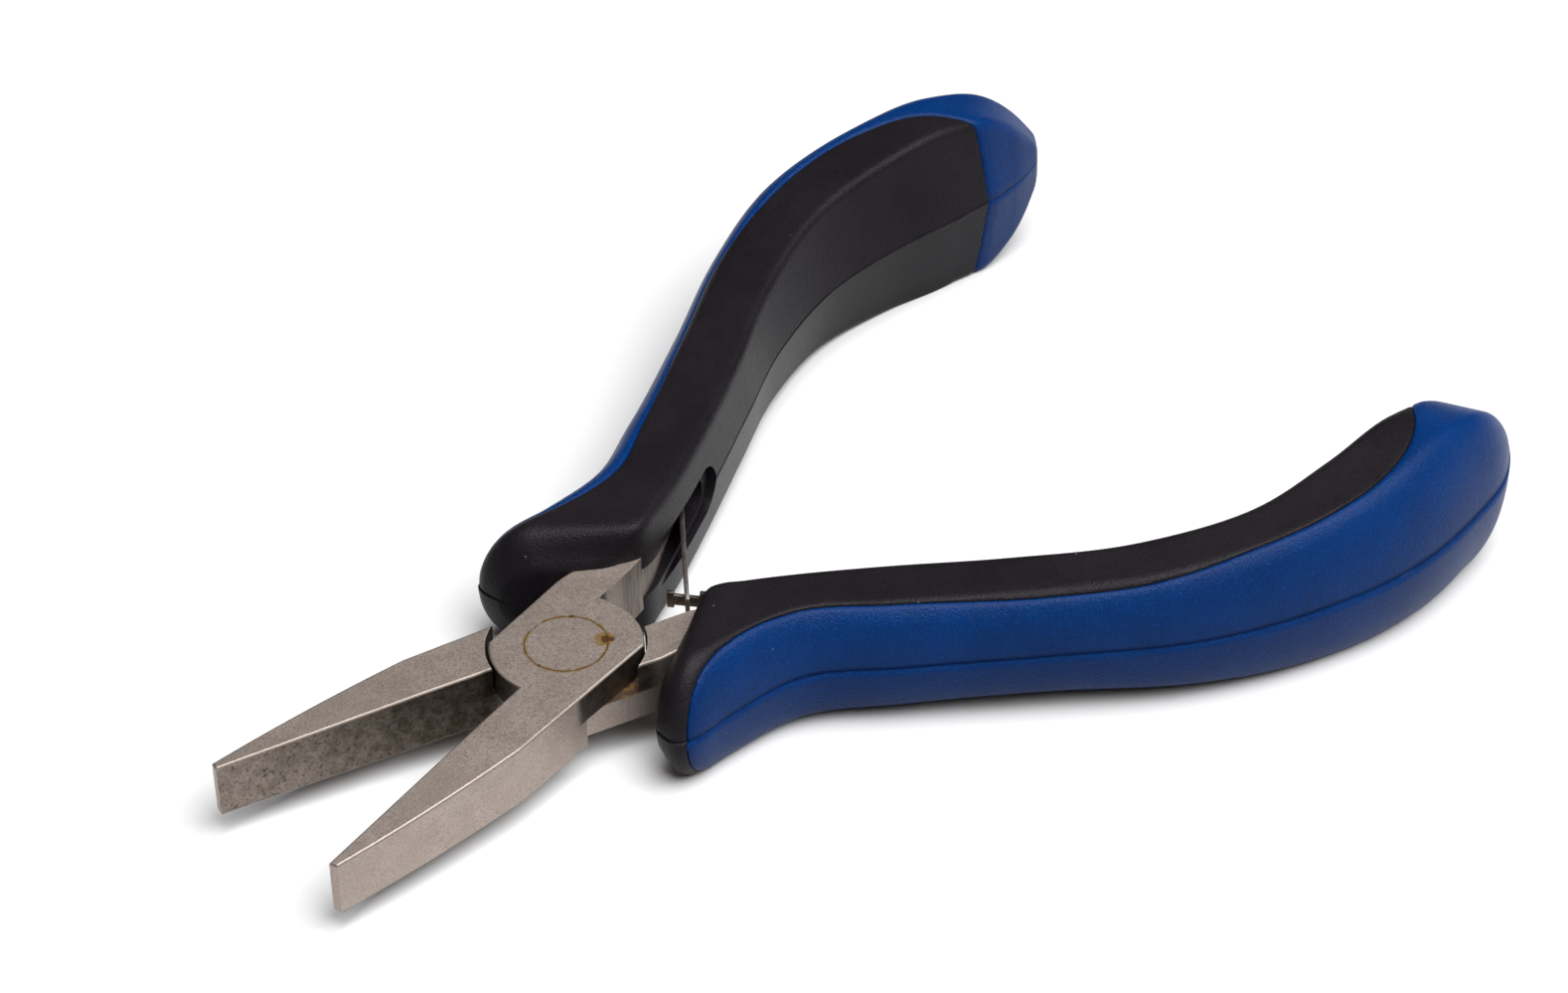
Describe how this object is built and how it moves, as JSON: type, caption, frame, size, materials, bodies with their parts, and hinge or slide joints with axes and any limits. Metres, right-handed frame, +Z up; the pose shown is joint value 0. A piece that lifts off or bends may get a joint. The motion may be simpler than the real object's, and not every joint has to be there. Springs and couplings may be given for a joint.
{
  "type": "flat nose jewellery pliers",
  "caption": "Small lap-joint pliers with smooth flat tapering jaws, interlocked leaf springs that hold them open and contoured two-part moulded grips, for gripping and bending wire and sheet.",
  "frame": {"origin": "on the pivot axis, at the rivet's flush face on the underside of the lap joint", "axes": "+X towards the jaw tips, along the line that halves the open jaws; +Y towards the handle of the lower lever; +Z up along the pivot axis, out of the upper lever's side"},
  "size_m": [0.1281, 0.0872, 0.0201],
  "materials": {
    "head_steel": "fine satin, bead blasted and lightly brushed, with small dark specks",
    "rivet_steel": "ground flush, satin",
    "spring_steel": "spring steel, satin with brown oxide",
    "grip_black": "soft satin, fine moulded texture",
    "grip_blue": "soft satin, fine moulded texture"
  },
  "bodies": {
    "lower_handle": {"lower_lever": "head_steel", "pivot_rivet": "rivet_steel", "lower_grip_core": "grip_black", "lower_grip_overmould": "grip_blue"},
    "upper_handle": {"upper_lever": "head_steel", "upper_grip_core": "grip_black", "upper_grip_overmould": "grip_blue"},
    "lower_leaf": {"lower_leaf_spring": "spring_steel"},
    "upper_leaf": {"upper_leaf_spring": "spring_steel"}
  },
  "joints": [
    {"name": "jaw_pivot", "type": "hinge", "parent": "lower_handle", "child": "upper_handle", "pos_m": [0, 0, 0.00325], "axis": [0, 0, 1], "range_deg": [-27.4, 0], "stiffness_Nm_per_rad": 0.35},
    {"name": "upper_leaf_bend", "type": "hinge", "parent": "upper_handle", "child": "upper_leaf", "pos_m": [-0.02462, -0.01212, 0.00325], "axis": [0, 0, 1], "range_deg": [-16.5, 0]},
    {"name": "lower_leaf_bend", "type": "hinge", "parent": "lower_handle", "child": "lower_leaf", "pos_m": [-0.02462, 0.01212, 0.00325], "axis": [0, 0, 1], "range_deg": [0, 16.5]}
  ],
  "couplings": [
    {"joint": "upper_leaf_bend", "follows": "jaw_pivot", "ratio": 0.598},
    {"joint": "lower_leaf_bend", "follows": "jaw_pivot", "ratio": -0.598}
  ]
}
